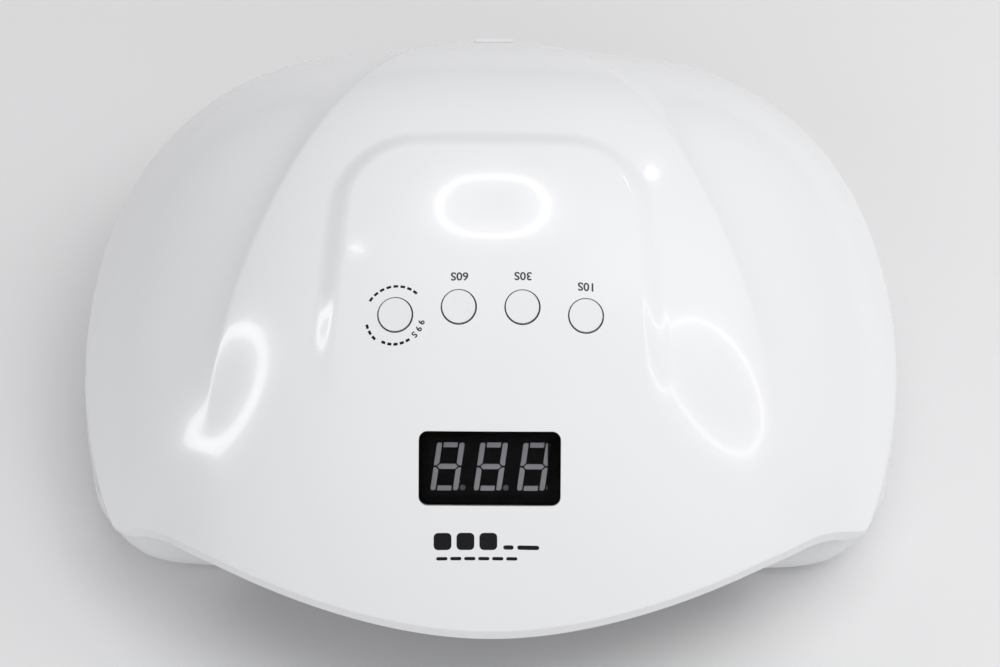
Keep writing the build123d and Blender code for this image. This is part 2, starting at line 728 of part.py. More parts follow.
def power_transistors():
    cans = []
    for x in (-18, -8):
        cans.append(Pos(x, POWER_Y, POWER_Z + BOARD_THICK) * Box(6.6, 6.1, 2.3, align=UP))
    return Compound(cans)


def wire(points, radius, bend):
    """Round wire along straight runs joined by tangent arcs."""
    path = FilletPolyline(*points, radius=bend)
    start = Plane(origin=path @ 0, z_dir=path % 0)
    return sweep(start * Circle(radius), path=path)


def inlet_leads():
    """Two wires from the inlet's tags down to the power board."""
    top = POWER_Z + BOARD_THICK
    first = [(0, 84.8, INLET_Z), (0, 82.4, INLET_Z - 3), (0, 84.5, 16), (2, 87, top + 0.6)]
    second = [(3, 84.8, INLET_Z - 3.5), (4, 83.0, INLET_Z - 7), (5, 85, 16), (6, 87, top + 0.6)]
    return Compound([wire(first, 0.6, 1.6), wire(second, 0.6, 1.6)])


def supply_lead():
    """Lead from the power board over the reflector to the key board's left header."""
    route = [(-23, 86, POWER_Z + BOARD_THICK), (-23, 86, 30), (-23, 84, 58), (-24, 58, 82)]
    route += [(-24, 20, 91), (-24, -16, 90.5), KEY_BOARD_END]
    return wire(route, 1.0, 9)


def key_point(x, y, z):
    return tuple(KEY_PLANE.from_local_coords(Vector(x, y, z)))


def display_point(x, y, z):
    return tuple(DISPLAY_PLANE.from_local_coords(Vector(x, y, z)))


KEY_BOARD_END = key_point(-24, 10.0, KEY_BOARD_LOW - 2.6)


def display_lead():
    """Flat ribbon between the two boards' headers, in one shallow loop."""
    start = key_point(LEAD_X, -9.2, KEY_BOARD_LOW - HEADER_TALL - LEAD_GAP)
    end = display_point(LEAD_X, 0, DISPLAY_BOARD_LOW - HEADER_TALL - LEAD_GAP)
    dip = [(a + b) / 2 for a, b in zip(start, end)]
    path = Spline(start, (dip[0], dip[1], dip[2] - 1.0), end)
    section = Plane(origin=path @ 0, x_dir=(1, 0, 0), z_dir=path % 0) * Rectangle(8, 0.6)
    return sweep(section, path=path)


def case_screws():
    screws = []
    for x, y in case_bosses():
        shank = Cylinder(1.2, 20, align=UP)
        head = Cylinder(2.9, 2.2, align=DOWN) - Pos(0, 0, -2.2) * cross_slot(3.6, 0.8, 1.2)
        screws.append(Pos(x, y, 15.0) * (shank + head))
    return Compound(screws)


def reflector_screws():
    screws = []
    for x, y in REFLECTOR_EARS:
        shank = Cylinder(0.95, 7.2, align=DOWN)
        head = Cylinder(2.5, 1.6, align=UP) - Pos(0, 0, 0.8) * cross_slot(3.0, 0.6, 0.8)
        screws.append(Pos(x, y, 10.6) * (shank + head))
    return Compound(screws)


def discs(places, radius, low, high):
    return Compound([Pos(x, y, low) * Cylinder(radius, high - low, align=UP) for x, y in places])


# ---------------------------------------------------------------- assembly
def build():
    nodes = {
        "top_cover": top_cover(),
        "lower_housing": lower_housing(),
        "reflector": reflector(),
        "base_tray": base_tray(),
        "inlet_bezel": inlet_bezel(),
        "power_inlet": power_inlet(),
        "inlet_pin": inlet_pin(),
        "inlet_tags": inlet_tags(),
        "inlet_leads": inlet_leads(),
        "display_window": display_window(),
        "display_mask": display_mask(),
        "display_segments": display_segments(),
        "display_points": display_points(),
        "display_module": display_module(),
        "display_board": display_board(),
        "display_lead": display_lead(),
        "key_board": key_board(),
        "tact_switches": tact_switches(),
        "controller_chip": controller_chip(),
        "buzzer": buzzer(),
        "lead_headers": lead_headers(),
        "board_screws": board_screws(),
        "power_board": power_board(),
        "power_standoffs": power_standoffs(),
        "power_screws": power_screws(),
        "power_capacitor": power_capacitor(),
        "power_transistors": power_transistors(),
        "supply_lead": supply_lead(),
        "case_screws": case_screws(),
        "reflector_screws": reflector_screws(),
        "rubber_feet": discs(FEET, 6.0, 0.0, FLOOR_Z + 1.0),
        "tray_magnets": discs(MAGNETS, 3.95, 2.0, FLOOR_TOP_Z),
    }
    for name, (x, y) in zip(KEY_NAMES, key_places()):
        nodes[f"key_cap_{name}"] = key_cap(x, y)
        nodes[f"key_plunger_{name}"] = key_plunger(x, y)
    lenses, packages, boards = emitter_parts()
    nodes["emitter_lenses"] = lenses
    nodes["emitter_packages"] = packages
    nodes["emitter_boards"] = boards
    window, emitter, receiver, board = sensor_parts()
    nodes["sensor_window"] = window
    nodes["sensor_emitter"] = emitter
    nodes["sensor_receiver"] = receiver
    nodes["sensor_board"] = board
    return nodes


os.makedirs("parts", exist_ok=True)
for node, shape in build().items():
    export_step(shape, f"parts/{node}.step")
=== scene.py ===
import json
import math
import bmesh
import bpy
import numpy as np
from mathutils import Matrix, Vector


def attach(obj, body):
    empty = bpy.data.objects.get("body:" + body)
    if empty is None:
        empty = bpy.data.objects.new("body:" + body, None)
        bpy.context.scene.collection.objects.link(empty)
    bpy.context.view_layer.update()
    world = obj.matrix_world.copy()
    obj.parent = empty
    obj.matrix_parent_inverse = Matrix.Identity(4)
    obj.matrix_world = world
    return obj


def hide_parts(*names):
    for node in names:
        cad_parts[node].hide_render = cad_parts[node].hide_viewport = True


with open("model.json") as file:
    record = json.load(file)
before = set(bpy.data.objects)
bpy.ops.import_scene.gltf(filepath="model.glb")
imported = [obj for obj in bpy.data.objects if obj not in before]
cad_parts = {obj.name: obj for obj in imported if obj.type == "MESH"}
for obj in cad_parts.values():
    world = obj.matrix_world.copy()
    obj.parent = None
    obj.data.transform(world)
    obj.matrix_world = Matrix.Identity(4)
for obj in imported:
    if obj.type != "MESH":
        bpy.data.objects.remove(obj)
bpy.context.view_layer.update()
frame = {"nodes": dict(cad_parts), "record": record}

MM = 0.001

# ------------------------------------------------------------------ dome
# The cover's shape follows the CAD's, apart from the two front corners: the CAD keeps a plain lip arc there.
HALF_WIDTH = 128.0
APEX_HEIGHT = 107.0
APEX_Y = 15.0
WIDEST_Y = -10.0
REAR_Y = 108.5
LIP_Y = -110.5
LIP_RADIUS = 160.0
FRONT_REACH = 130.0
PLAN_POWER = 2.1
SEAM_Z = 25.0
WALL = 2.2
RIM_RADIUS, LIP_RIM_RADIUS = 6.0, 1.0
SIDE_DROP, SIDE_SPAN, SIDE_POWER = 67.0, 129.0, 2.6
FRONT_DROP, FRONT_SPAN, FRONT_POWER = 66.0, 125.0, 2.2
REAR_DROP, REAR_SPAN, REAR_POWER = 64.0, 94.0, 2.3
BAND_WIDEST, BAND_TURN_Y, BAND_TAPER = 84.0, -51.0, 0.0406
SCOOP_DEPTH, SCOOP_LENGTH, SCOOP_REACH = 4.2, 9.0, 52.0
PAD_RISE, PAD_EDGE = 2.0, 8.0
PAD_REAR_Y, PAD_CORNER = 25.0, 24.0
KEY_Y, KEY_PITCH, KEY_OUTER_STEP = -34.9, 18.6, 2.3
KEY_HOLE_RADIUS = 5.3
KEY_HANG = (0.04, -0.1)
DISPLAY_Y = -75.1
WINDOW_W, WINDOW_H, WINDOW_CORNER = 41.0, 21.4, 2.6
MOUTH_HALF, MOUTH_WALL_Y = 87.5, -65.2
SHOULDER_Y, SHOULDER_CURVE = -69.5, 45.0
CORNER_SAG, SAG_RECOVERY = 2.6, 0.6
CORNER_BLEND = 90.0
INLET_NOTCH_HALF, INLET_NOTCH_TOP = 7.15, 38.85


def smooth(low, high, value):
    t = np.clip((value - low) / (high - low), 0.0, 1.0)
    return t * t * (3 - 2 * t)


def dome_base(x, y):
    side = SIDE_DROP * (np.abs(x) / SIDE_SPAN) ** SIDE_POWER
    front = FRONT_DROP * (np.maximum(APEX_Y - y, 0) / FRONT_SPAN) ** FRONT_POWER
    rear = REAR_DROP * (np.maximum(y - APEX_Y, 0) / REAR_SPAN) ** REAR_POWER
    return APEX_HEIGHT - PAD_RISE - side - front - rear


def soft_positive(value, width):
    """max(value, 0) with its corner rounded over width."""
    return 0.5 * (value + np.sqrt(value * value + width * width))


def scoop(x, y):
    half = BAND_WIDEST - BAND_TAPER * np.maximum(0.0, y - BAND_TURN_Y) ** 1.5
    out = soft_positive(np.abs(x) - half, 0.7)
    depth = SCOOP_DEPTH * smooth(-66.0, -20.0, y)
    return depth * (1 - np.exp(-out / SCOOP_LENGTH)) * np.maximum(0.0, 1 - out / SCOOP_REACH)


def key_pad(x, y):
    half = 53.0 - 0.09 * np.maximum(0.0, y + 40.0)
    dx = np.abs(x) - (half - PAD_CORNER)
    dy = y - (PAD_REAR_Y - PAD_CORNER)
    outside = np.hypot(np.maximum(dx, 0), np.maximum(dy, 0)) + np.minimum(np.maximum(dx, dy), 0) - PAD_CORNER
    return PAD_RISE * smooth(PAD_EDGE, 0.0, outside + PAD_EDGE) * smooth(-62.0, -26.0, y)


def corner_sag(x, y):
    """Slight drop of the shell towards its two front corners."""
    across = smooth(78.0, 104.0, np.abs(x)) - SAG_RECOVERY * smooth(104.0, 116.0, np.abs(x))
    return CORNER_SAG * across * smooth(-56.0, -78.0, y)


def dome(x, y):
    return dome_base(x, y) - scoop(x, y) + key_pad(x, y) - corner_sag(x, y)


def slopes(x, y, step=0.15):
    across = (dome(x + step, y) - dome(x - step, y)) / (2 * step)
    along = (dome(x, y + step) - dome(x, y - step)) / (2 * step)
    return across, along


def normals(x, y):
    across, along = slopes(x, y)
    n = np.stack([-across, -along, np.ones_like(across)], -1)
    return n / np.linalg.norm(n, axis=-1, keepdims=True)


def front_edge(x):
    """y of the lip at x: a wide arc that turns through concave curves into straight shoulders."""
    x = np.abs(x)
    middle = LIP_Y + LIP_RADIUS
    rise = middle - SHOULDER_Y + SHOULDER_CURVE
    end = math.sqrt((LIP_RADIUS + SHOULDER_CURVE) ** 2 - rise**2)
    meet = end * LIP_RADIUS / (LIP_RADIUS + SHOULDER_CURVE)
    arc = middle - np.sqrt(np.maximum(LIP_RADIUS**2 - x**2, 0.0))
    curve = SHOULDER_Y - SHOULDER_CURVE + np.sqrt(np.maximum(SHOULDER_CURVE**2 - (x - end) ** 2, 0.0))
    return np.where(x < meet, arc, np.where(x < end, curve, SHOULDER_Y))


def lip_reach(c, s):
    """Distance from (0, WIDEST_Y) to the lip along (c, s), found by halving."""
    near, far = np.zeros_like(c), np.full_like(c, 160.0)
    for _ in range(40):
        r = (near + far) / 2
        inside = WIDEST_Y + r * s > front_edge(r * c)
        near, far = np.where(inside, r, near), np.where(inside, far, r)
    return near


def edge_radius(angle):
    """Outline of the cover about (0, WIDEST_Y): side curve and lip, their corner lightly rounded."""
    c, s = np.cos(angle), np.sin(angle)
    reach = np.where(s > 0, REAR_Y - WIDEST_Y, FRONT_REACH)
    side = ((np.abs(c) / HALF_WIDTH) ** PLAN_POWER + (np.abs(s) / reach) ** PLAN_POWER) ** (-1 / PLAN_POWER)
    lip = lip_reach(c, s)
    return (side**-CORNER_BLEND + lip**-CORNER_BLEND) ** (-1 / CORNER_BLEND)


def rim_radius(y):
    """Radius of the cover's top edge: generous round the sides and rear, crisp along the lip."""
    return LIP_RIM_RADIUS + (RIM_RADIUS - LIP_RIM_RADIUS) * smooth(-72.0, -40.0, y)


# ------------------------------------------------------------------ small mesh helpers
def link(obj):
    bpy.context.scene.collection.objects.link(obj)
    return obj


def new_mesh(name, verts, faces, smooth_shade=True):
    mesh = bpy.data.meshes.new(name)
    mesh.from_pydata([tuple(v) for v in verts], [], [tuple(f) for f in faces])
    mesh.update()
    mesh.polygons.foreach_set("use_smooth", [smooth_shade] * len(mesh.polygons))
    return link(bpy.data.objects.new(name, mesh))


def apply_modifiers(obj):
    graph = bpy.context.evaluated_depsgraph_get()
    mesh = bpy.data.meshes.new_from_object(obj.evaluated_get(graph))
    old = obj.data
    obj.modifiers.clear()
    obj.data = mesh
    bpy.data.meshes.remove(old)


def seat_matrix(x, y):
    """Frame on the dome at (x, y) in metres: X across, Y up the slope, Z out."""
    n = Vector(normals(np.array([float(x)]), np.array([float(y)]))[0])
    across, _ = slopes(np.array([float(x)]), np.array([float(y)]))
    right = Vector((1, 0, float(across[0]))).normalized()
    up = n.cross(right).normalized()
    place = Vector((x, y, float(dome(np.array([float(x)]), np.array([float(y)]))[0]))) * MM
    m = Matrix((right, up, n)).transposed().to_4x4()
    m.translation = place
    return m


def prism(outline, low, high):
    """Closed prism over an outline of (x, y) points."""
    n = len(outline)
    verts = [(x, y, low) for x, y in outline] + [(x, y, high) for x, y in outline]
    faces = [tuple(range(n - 1, -1, -1)), tuple(range(n, 2 * n))]
    faces += [(i, (i + 1) % n, n + (i + 1) % n, n + i) for i in range(n)]
    return verts, faces


def circle_points(radius, count=64, cx=0.0, cy=0.0):
    return [
        (cx + radius * math.cos(2 * math.pi * k / count), cy + radius * math.sin(2 * math.pi * k / count))
        for k in range(count)
    ]


def rounded_rect(w, h, r, steps=10):
    points = []
    for sx, sy, start in ((1, 1, 0), (-1, 1, 90), (-1, -1, 180), (1, -1, 270)):
        for k in range(steps + 1):
            a = math.radians(start + 90 * k / steps)
            points.append((sx * (w / 2 - r) + r * math.cos(a), sy * (h / 2 - r) + r * math.sin(a)))
    return points


# ------------------------------------------------------------------ cover
COLUMNS, ROWS, ARC_STEPS = 960, 150, 9
ARCH_START_Y, ARCH_FULL_Y = -63.0, -68.5
ARCH_X = (-110, -103.5, -95, -78, -50)
ARCH_Z = (24, 29.5, 37.5, 51, 90)
LIP_BAND = 1.2


def bottom_height(x, y):
    """Height of the cover's lower edge: the seam at the sides, the arch and the thin lip at the front."""
    ax = np.abs(x)
    arch = np.interp(-ax, ARCH_X, ARCH_Z)
    across, along = slopes(x, y)
    inner = dome(x, y) - WALL * np.sqrt(1 + across**2 + along**2) - LIP_BAND
    low = np.minimum(arch, inner)
    return SEAM_Z + np.maximum(low - SEAM_Z, 0.0) * smooth(ARCH_START_Y, ARCH_FULL_Y, y)


def rim_slope(angle):
    """Outward fall of the dome at its outline, as an angle, with the y of the place where it is taken."""
    c, s = np.cos(angle), np.sin(angle)
    probe = edge_radius(angle) - 0.6
    ye = WIDEST_Y + probe * s
    across, along = slopes(probe * c, ye, 0.4)
    return np.arctan(np.maximum(-(across * c + along * s), 0.2)), ye


def rim_start(angle):
    """Distance from (0, WIDEST_Y) at which the dome gives way to the rounded rim."""
    alpha, ye = rim_slope(angle)
    return edge_radius(angle) - rim_radius(ye) * (1 - np.sin(alpha))


def cover_skin():
    """Outer skin of the cover as rings of points from the middle out, over the rim and down to the edge."""
    angle = np.linspace(0, 2 * math.pi, COLUMNS, endpoint=False) - math.pi / 2
    c, s = np.cos(angle), np.sin(angle)
    r_edge = edge_radius(angle)
    alpha, ye = rim_slope(angle)
    z_edge = dome(r_edge * c, WIDEST_Y + r_edge * s)
    rim = rim_radius(ye)
    reach = rim * (1 - np.sin(alpha))
    z_centre = z_edge - rim * (1 - np.sin(alpha)) / np.cos(alpha)
    rings = []
    for k in range(1, ROWS + 1):
        t = k / ROWS
        r = (r_edge - reach) * (t ** 0.9)
        x, y = r * c, WIDEST_Y + r * s
        rings.append(np.stack([x, y, dome(x, y)], -1))
    for k in range(1, ARC_STEPS + 1):
        turn = (math.pi / 2 - alpha) * k / ARC_STEPS
        d = rim * (1 - np.sin(alpha + turn))
        z = z_centre + rim * np.cos(alpha + turn)
        x, y = (r_edge - d) * c, WIDEST_Y + (r_edge - d) * s
        line = z_edge + d * np.tan(alpha)
        rings.append(np.stack([x, y, z + (dome(x, y) - line)], -1))
    last = rings[-1]
    low = np.minimum(bottom_height(last[:, 0], last[:, 1]), last[:, 2] - 0.3)
    for k in range(1, 5):
        ring = last.copy()
        ring[:, 2] = last[:, 2] + (low - last[:, 2]) * k / 4
        rings.append(ring)
    centre = np.array([[0.0, WIDEST_Y, float(dome(np.array([0.0]), np.array([WIDEST_Y]))[0])]])
    verts = np.concatenate([centre] + rings) * MM
    faces = [(0, 1 + i, 1 + (i + 1) % COLUMNS) for i in range(COLUMNS)]
    for j in range(len(rings) - 1):
        a, b = 1 + j * COLUMNS, 1 + (j + 1) * COLUMNS
        for i in range(COLUMNS):
            k = (i + 1) % COLUMNS
            faces.append((a + i, b + i, b + k, a + k))
    return verts, faces


def cutters():
    """Key holes, display opening and inlet notch as one mesh of separate prisms."""
    verts, faces = [], []

    def add(outline, low, high, matrix):
        v, f = prism(outline, low * MM, high * MM)
        base = len(verts)
        verts.extend(matrix @ Vector((a * MM, b * MM, z)) for a, b, z in v)
        faces.extend(tuple(base + i for i in face) for face in f)

    key_plane = seat_matrix(0, KEY_Y)
    for i in range(4):
        x, y = (i - 1.5) * KEY_PITCH, (-KEY_OUTER_STEP if i in (0, 3) else 0.0)
        add(circle_points(KEY_HOLE_RADIUS, 72, x + KEY_HANG[0], y + KEY_HANG[1]), -8, 5, key_plane)
    window = rounded_rect(WINDOW_W + 0.5, WINDOW_H + 0.5, WINDOW_CORNER)
    add(window, -8, 6, seat_matrix(0, DISPLAY_Y))
    notch = Matrix.Rotation(math.pi / 2, 4, "X")
    notch.translation = Vector((0, 0.1135, 0.0))
    half, top = INLET_NOTCH_HALF, INLET_NOTCH_TOP
    box = [(-half, SEAM_Z - 1), (half, SEAM_Z - 1), (half, top), (-half, top)]
    add(box, 0, 14, notch)
    obj = new_mesh("cutters", verts, faces, False)
    bm = bmesh.new()
    bm.from_mesh(obj.data)
    bmesh.ops.recalc_face_normals(bm, faces=bm.faces)
    bm.to_mesh(obj.data)
    bm.free()
    return obj


def shade_from_formula(obj):
    """Gives the outer skin the dome's exact normals, so that grid and cut edges don't show in reflections."""
    mesh = obj.data
    mesh.polygons.foreach_set("use_smooth", [True] * len(mesh.polygons))
    count = len(mesh.loops)
    index = np.zeros(count, np.int32)
    mesh.loops.foreach_get("vertex_index", index)
    co = np.zeros(len(mesh.vertices) * 3)
    mesh.vertices.foreach_get("co", co)
    co = co.reshape(-1, 3) / MM
    poly_normal = np.zeros(len(mesh.polygons) * 3)
    mesh.polygons.foreach_get("normal", poly_normal)
    poly_normal = poly_normal.reshape(-1, 3)
    totals = np.zeros(len(mesh.polygons), np.int32)
    mesh.polygons.foreach_get("loop_total", totals)
    flat = np.repeat(poly_normal, totals, axis=0)
    current = np.zeros(count * 3)
    mesh.corner_normals.foreach_get("vector", current)
    current = current.reshape(-1, 3)
    p = co[index]
    exact = normals(p[:, 0], p[:, 1])
    on_skin = np.abs(p[:, 2] - dome(p[:, 0], p[:, 1])) < 0.04
    from_middle = np.hypot(p[:, 0], p[:, 1] - WIDEST_Y)
    around = np.arctan2(p[:, 1] - WIDEST_Y, p[:, 0])
    on_skin &= from_middle < rim_start(around) + 0.02
    agree = (exact * flat).sum(-1) > 0.93
    use = on_skin & agree
    sharp = (current * flat).sum(-1) < 0.85
    result = np.where(use[:, None], exact, np.where(sharp[:, None], flat, current))
    mesh.normals_split_custom_set([tuple(n) for n in result])


def make_cover():
    verts, faces = cover_skin()
    cover = new_mesh("cover_shell", verts, faces)
    solid = cover.modifiers.new("wall", "SOLIDIFY")
    solid.thickness = WALL * MM
    solid.offset = -1
    solid.use_rim = True
    tools = cutters()
    cut = cover.modifiers.new("cut", "BOOLEAN")
    cut.operation = "DIFFERENCE"
    cut.solver = "EXACT"
    cut.object = tools
    bpy.context.view_layer.update()
    apply_modifiers(cover)
    bpy.data.objects.remove(tools)
    shade_from_formula(cover)
    return cover


def edge_x(y):
    """Half the cover's width at y, found by halving."""
    inside, outside = 0.0, HALF_WIDTH
    for _ in range(30):
        x = (inside + outside) / 2
        angle = np.array([math.atan2(y - WIDEST_Y, x)])
        if math.hypot(x, y - WIDEST_Y) < float(edge_radius(angle)[0]):
            inside = x
        else:
            outside = x
    return inside


def mouth_wall(side):
    """Upright panel that closes the space beside the mouth, from the seam up into the shell."""
    outer = edge_x(MOUTH_WALL_Y)
    xs = np.linspace(MOUTH_HALF, outer - WALL / 2, 30)
    ys = np.full_like(xs, MOUTH_WALL_Y)
    across, along = slopes(xs, ys)
    rim = float(rim_radius(np.array([MOUTH_WALL_Y]))[0])
    near = np.maximum(rim - (outer - xs), 0.0)
    drop = rim - np.sqrt(rim**2 - near**2)
    tops = dome(xs, ys) - WALL / 2 * np.sqrt(1 + across**2 + along**2) - drop
    front, back = MOUTH_WALL_Y - WALL / 2, MOUTH_WALL_Y + WALL / 2
    verts, faces = [], []
    for x, top in zip(xs, tops):
        for y, z in ((front, SEAM_Z), (front, top), (back, top), (back, SEAM_Z)):
            verts.append((side * x * MM, y * MM, z * MM))
    for i in range(len(xs) - 1):
        a, b = 4 * i, 4 * i + 4
        for k in range(4):
            m = (k + 1) % 4
            faces.append((a + k, b + k, b + m, a + m))
    last = 4 * (len(xs) - 1)
    faces += [(3, 2, 1, 0), (last, last + 1, last + 2, last + 3)]
    if side < 0:
        faces = [face[::-1] for face in faces]
    wall = new_mesh("mouth_wall_right" if side > 0 else "mouth_wall_left", verts, faces, False)
    bevel = wall.modifiers.new("edge", "BEVEL")
    bevel.width = 0.3 * MM
    bevel.segments = 2
    bevel.limit_method = "ANGLE"
    apply_modifiers(wall)
    return wall


TAB_OUTLINE = ((-6.3, 108.9), (6.3, 108.9), (6.6, 110.4), (-6.6, 110.4))
TAB_LOW, TAB_TOP = 41.2, 44.5


def make_rear_tab():
    """Small upright tab on the inlet's collar, which just shows behind the cover."""
    verts, faces = prism([(x * MM, y * MM) for x, y in TAB_OUTLINE], TAB_LOW * MM, TAB_TOP * MM)
    tab = new_mesh("rear_tab", verts, faces, False)
    bevel = tab.modifiers.new("edge", "BEVEL")
    bevel.width = 0.25 * MM
    bevel.segments = 2
    apply_modifiers(tab)
    return tab


# ------------------------------------------------------------------ materials
def node_material(name):
    material = bpy.data.materials.new(name)
    material.use_nodes = True
    tree = material.node_tree
    shader = tree.nodes["Principled BSDF"]
    return material, tree, shader


def add_node(tree, kind, **values):
    node = tree.nodes.new(kind)
    for key, value in values.items():
        if key in node.inputs:
            node.inputs[key].default_value = value
        else:
            setattr(node, key, value)
    return node


def plastic(
    name, color, rough, spread=0.012, grain=900.0, bump=0.015, coat=0.0, metal=0.0, wear=0.03, specular=0.5
):
    """Moulded plastic or plated surface: slight tone drift, uneven gloss and a fine skin texture."""
    material, tree, shader = node_material(name)
    coords = add_node(tree, "ShaderNodeTexCoord")
    drift = add_node(tree, "ShaderNodeTexNoise", Scale=22.0, Detail=3.0)
    tree.links.new(coords.outputs["Object"], drift.inputs["Vector"])
    tone = add_node(tree, "ShaderNodeMix", data_type="RGBA")
    tone.inputs[6].default_value = (*[max(0.0, c - spread) for c in color], 1)
    tone.inputs[7].default_value = (*[min(1.0, c + spread) for c in color], 1)
    tree.links.new(drift.outputs["Fac"], tone.inputs[0])
    tree.links.new(tone.outputs[2], shader.inputs["Base Color"])
    gloss = add_node(tree, "ShaderNodeTexNoise", Scale=60.0, Detail=5.0)
    tree.links.new(coords.outputs["Object"], gloss.inputs["Vector"])
    span = add_node(tree, "ShaderNodeMapRange")
    span.inputs["From Min"].default_value = 0.3
    span.inputs["From Max"].default_value = 0.7
    span.inputs["To Min"].default_value = max(0.02, rough - wear)
    span.inputs["To Max"].default_value = rough + wear
    tree.links.new(gloss.outputs["Fac"], span.inputs["Value"])
    tree.links.new(span.outputs["Result"], shader.inputs["Roughness"])
    skin = add_node(tree, "ShaderNodeTexNoise", Scale=grain, Detail=2.0)
    tree.links.new(coords.outputs["Object"], skin.inputs["Vector"])
    relief = add_node(tree, "ShaderNodeBump", Strength=bump, Distance=0.0002)
    tree.links.new(skin.outputs["Fac"], relief.inputs["Height"])
    tree.links.new(relief.outputs["Normal"], shader.inputs["Normal"])
    shader.inputs["Metallic"].default_value = metal
    shader.inputs["Specular IOR Level"].default_value = specular
    shader.inputs["Coat Weight"].default_value = coat
    shader.inputs["Coat Roughness"].default_value = 0.05
    return material


def set_material(obj, material):
    obj.data.materials.clear()
    obj.data.materials.append(material)


gloss_white = plastic("gloss_white", (0.86, 0.865, 0.87), 0.16, 0.006, 700.0, 0.02, coat=0.35)
base_white = plastic("base_white", (0.80, 0.805, 0.81), 0.34, 0.01, 1500.0, 0.06)
key_white = plastic("key_white", (0.83, 0.835, 0.84), 0.26, 0.008, 1200.0, 0.04)
silver = plastic("reflector_silver", (0.80, 0.81, 0.82), 0.16, 0.02, 260.0, 0.10, metal=0.92)
steel = plastic("bare_steel", (0.55, 0.55, 0.56), 0.28, 0.03, 1400.0, 0.08, metal=1.0)
nickel = plastic("magnet_nickel", (0.66, 0.66, 0.67), 0.18, 0.03, 900.0, 0.06, metal=1.0)
tray_paint = plastic("tray_steel", (0.78, 0.785, 0.79), 0.42, 0.012, 2600.0, 0.18)
rubber = plastic("rubber_grey", (0.13, 0.13, 0.135), 0.72, 0.02, 2200.0, 0.25)
black_film = plastic("black_film", (0.003, 0.003, 0.003), 0.6, 0.002, 1500.0, 0.05, specular=0.03)
module_grey = plastic("module_grey", (0.004, 0.004, 0.004), 0.6, 0.002, 1500.0, 0.05, specular=0.05)
board_green = plastic("board_green", (0.03, 0.16, 0.08), 0.38, 0.012, 420.0, 0.12)
board_white = plastic("board_white", (0.82, 0.82, 0.79), 0.4, 0.02, 900.0, 0.08)
chip_black = plastic("chip_black", (0.025, 0.025, 0.027), 0.55, 0.006, 2400.0, 0.2)
cream = plastic("header_cream", (0.78, 0.74, 0.62), 0.42, 0.02, 1500.0, 0.08)
package_cream = plastic("package_cream", (0.80, 0.76, 0.52), 0.4, 0.03, 1800.0, 0.08)
capacitor_dark = plastic("capacitor_dark", (0.03, 0.035, 0.06), 0.3, 0.01, 1100.0, 0.05)
socket_black = plastic("socket_black", (0.02, 0.02, 0.022), 0.38, 0.006, 1800.0, 0.1)
lead_grey = plastic("lead_grey", (0.35, 0.35, 0.36), 0.45, 0.02, 1500.0, 0.1)
lead_red = plastic("lead_red", (0.42, 0.03, 0.02), 0.42, 0.03, 1500.0, 0.1)
sensor_dark = plastic("sensor_dark", (0.05, 0.008, 0.014), 0.12, 0.006, 700.0, 0.02, coat=0.4)


def clear_lens():
    material, tree, shader = node_material("lens_clear")
    coords = add_node(tree, "ShaderNodeTexCoord")
    noise = add_node(tree, "ShaderNodeTexNoise", Scale=300.0, Detail=2.0)
    tree.links.new(coords.outputs["Object"], noise.inputs["Vector"])
    tone = add_node(tree, "ShaderNodeMix", data_type="RGBA")
    tone.inputs[6].default_value = (0.86, 0.88, 0.92, 1)
    tone.inputs[7].default_value = (0.93, 0.94, 0.96, 1)
    tree.links.new(noise.outputs["Fac"], tone.inputs[0])
    tree.links.new(tone.outputs[2], shader.inputs["Base Color"])
    shader.inputs["Roughness"].default_value = 0.08
    shader.inputs["Transmission Weight"].default_value = 0.85
    shader.inputs["IOR"].default_value = 1.45
    return material


def smoked_window():
    """Dark see-through acrylic with faint hairline scuffs."""
    material, tree, shader = node_material("smoked_window")
    coords = add_node(tree, "ShaderNodeTexCoord")
    stretch = add_node(tree, "ShaderNodeMapping")
    stretch.inputs["Scale"].default_value = (240.0, 2600.0, 2600.0)
    stretch.inputs["Rotation"].default_value = (0.0, 0.0, 0.5)
    tree.links.new(coords.outputs["Object"], stretch.inputs["Vector"])
    scuff = add_node(tree, "ShaderNodeTexNoise", Scale=1.0, Detail=2.0)
    tree.links.new(stretch.outputs["Vector"], scuff.inputs["Vector"])
    ramp = add_node(tree, "ShaderNodeMapRange")
    ramp.inputs["From Min"].default_value = 0.68
    ramp.inputs["From Max"].default_value = 0.82
    ramp.inputs["To Min"].default_value = 0.06
    ramp.inputs["To Max"].default_value = 0.35
    tree.links.new(scuff.outputs["Fac"], ramp.inputs["Value"])
    tree.links.new(ramp.outputs["Result"], shader.inputs["Roughness"])
    tone = add_node(tree, "ShaderNodeMix", data_type="RGBA")
    tone.inputs[6].default_value = (0.70, 0.70, 0.72, 1)
    tone.inputs[7].default_value = (0.78, 0.78, 0.80, 1)
    tree.links.new(scuff.outputs["Fac"], tone.inputs[0])
    tree.links.new(tone.outputs[2], shader.inputs["Base Color"])
    shader.inputs["Transmission Weight"].default_value = 1.0
    shader.inputs["IOR"].default_value = 1.12
    shader.inputs["Specular IOR Level"].default_value = 0.5
    return material


segment_grey = plastic("segment_grey", (0.40, 0.40, 0.405), 0.45, 0.05, 2600.0, 0.15)
point_grey = plastic("point_grey", (0.11, 0.11, 0.112), 0.45, 0.02, 2600.0, 0.15)
print_ink = plastic("print_ink", (0.008, 0.008, 0.009), 0.55, 0.005, 3000.0, 0.05, specular=0.2)
print_ink_light = plastic("print_ink_light", (0.05, 0.05, 0.054), 0.5, 0.02, 3000.0, 0.05, specular=0.3)
lens_clear = clear_lens()
smoked = smoked_window()

